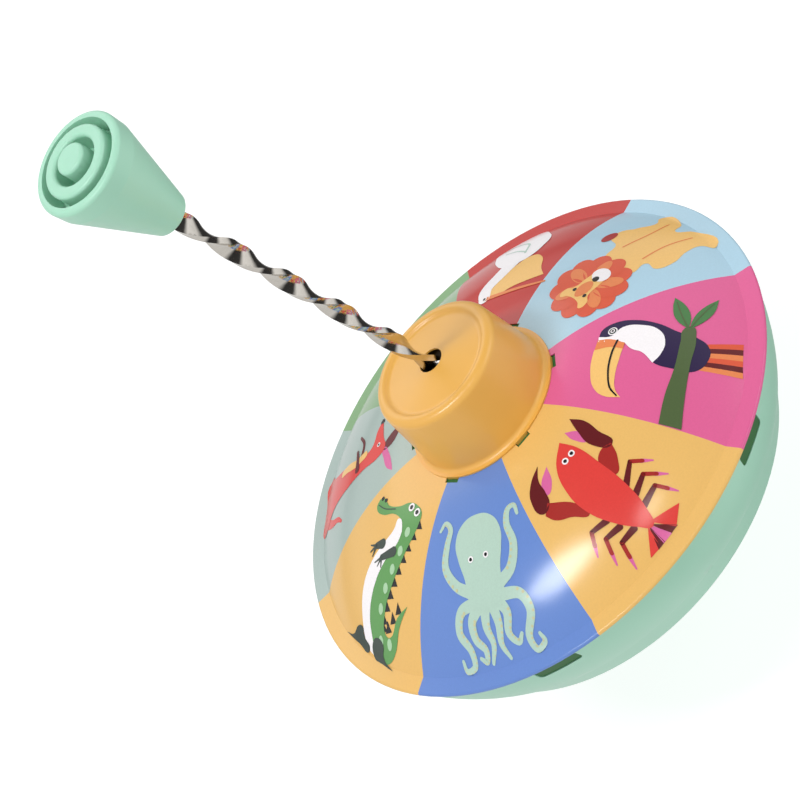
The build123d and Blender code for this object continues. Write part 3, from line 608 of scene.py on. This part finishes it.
sky = bpy.data.worlds.new("studio")
bpy.context.scene.world = sky
sky.use_nodes = True
tree = sky.node_tree
tree.nodes.clear()
direction = add_node(tree, "SeparateXYZ", links={"Vector": add_node(tree, "TexCoord").outputs["Generated"]})
height = add_node(tree, "MapRange", links={"Value": direction.outputs["Z"], "From Min": -1.0})
compass = add_node(tree, "Math", {"operation": "ARCTAN2"}, {
    0: direction.outputs["Y"], 1: direction.outputs["X"]})
stripe = add_node(tree, "Math", {"operation": "MULTIPLY_ADD"}, {
    0: compass.outputs["Value"], 1: 1 / math.tau, 2: 0.5})
even = ((0.45, 1.12), (0.62, 0.52))
above = ((0.5, 0.04), (0.6, 0.95), (0.84, 0.95), (0.93, 0.3))
striped = (
    (0.02, 0.85), (0.08, 0.04), (0.2, 0.05), (0.25, 1.1), (0.36, 0.95), (0.42, 0.04), (0.53, 0.05),
    (0.6, 0.85))
glows = []
for shades, along in ((even, height), (above, height), (striped, stripe)):
    ramp = add_node(tree, "ValToRGB", links={"Fac": along.outputs[0]})
    stops = ramp.color_ramp.elements
    for number, (position, shade) in enumerate(shades):
        stop = stops[number] if number < 2 else stops.new(position)
        stop.position = position
        stop.color = (shade, shade, shade, 1)
    background = add_node(tree, "Background", links={"Color": ramp.outputs["Color"]})
    glows.append(background.outputs["Background"])
horizon = add_node(tree, "Math", {"operation": "GREATER_THAN"}, {0: direction.outputs["Z"], 1: 0.0})
glossed = add_node(tree, "MixShader", links={0: horizon.outputs["Value"], 1: glows[2], 2: glows[1]})
ray = add_node(tree, "LightPath")
glow = add_node(tree, "MixShader", links={
    0: ray.outputs["Is Glossy Ray"], 1: glows[0], 2: glossed.outputs["Shader"]})
add_node(tree, "OutputWorld", links={"Surface": glow.outputs["Shader"]})


rim_height = 90 * MM  # roughly, where every light is aimed


def soft_box(name, bearing, elevation, distance, width, length, radiance, turn=0.0):
    """Oval soft light aimed at the top; angles in degrees, sizes in metres."""
    bearing, elevation = math.radians(bearing), math.radians(elevation)
    out = Vector((
        math.cos(elevation) * math.cos(bearing), math.cos(elevation) * math.sin(bearing),
        math.sin(elevation)))
    bpy.ops.object.light_add(type="AREA", location=Vector((0, 0, rim_height)) + out * distance)
    light = bpy.context.object
    light.name = name
    facing = (-out).to_track_quat("-Z", "Y").to_matrix() @ Matrix.Rotation(math.radians(turn), 3, "Z")
    light.rotation_euler = facing.to_euler()
    light.data.shape = "ELLIPSE"
    light.data.size = width
    light.data.size_y = length
    light.data.energy = radiance * math.pi * (math.pi / 4 * width * length)


soft_box("overhead soft box", 156, 68, 1.5, 0.62, 0.26, 25.0, turn=46)
soft_box("small overhead box", 240, 68, 1.5, 0.3, 0.16, 11.0)
soft_box("right fill", 292, 28, 1.8, 1.2, 0.9, 1.9)
soft_box("left fill", 190, 30, 1.8, 1.0, 0.9, 0.25)
soft_box("back fill", 45, 35, 1.8, 1.2, 0.6, 1.2)
bpy.context.scene.view_settings.view_transform = "Standard"

# ---- Camera ----
# A long lens looks down on the printed dome from about a metre away. It is rolled so that the body's
# axis leans to the upper left.
view_bearing, view_elevation = math.radians(224.63), math.radians(35.57)
towards_camera = Vector((
    math.cos(view_elevation) * math.cos(view_bearing), math.cos(view_elevation) * math.sin(view_bearing),
    math.sin(view_elevation)))
aim = Vector((-10.8, 10.9, 130.3)) * MM
bpy.ops.object.camera_add(location=aim + towards_camera * 926.5 * MM)
camera = bpy.context.object
camera.name = "camera"
level = (-towards_camera).to_track_quat("-Z", "Y").to_matrix()
camera.rotation_euler = (level @ Matrix.Rotation(math.radians(-51.69), 3, "Z")).to_euler()
camera.data.lens = 136.2
camera.data.sensor_width = 36.0
camera.data.clip_start = 0.05
bpy.context.scene.camera = camera
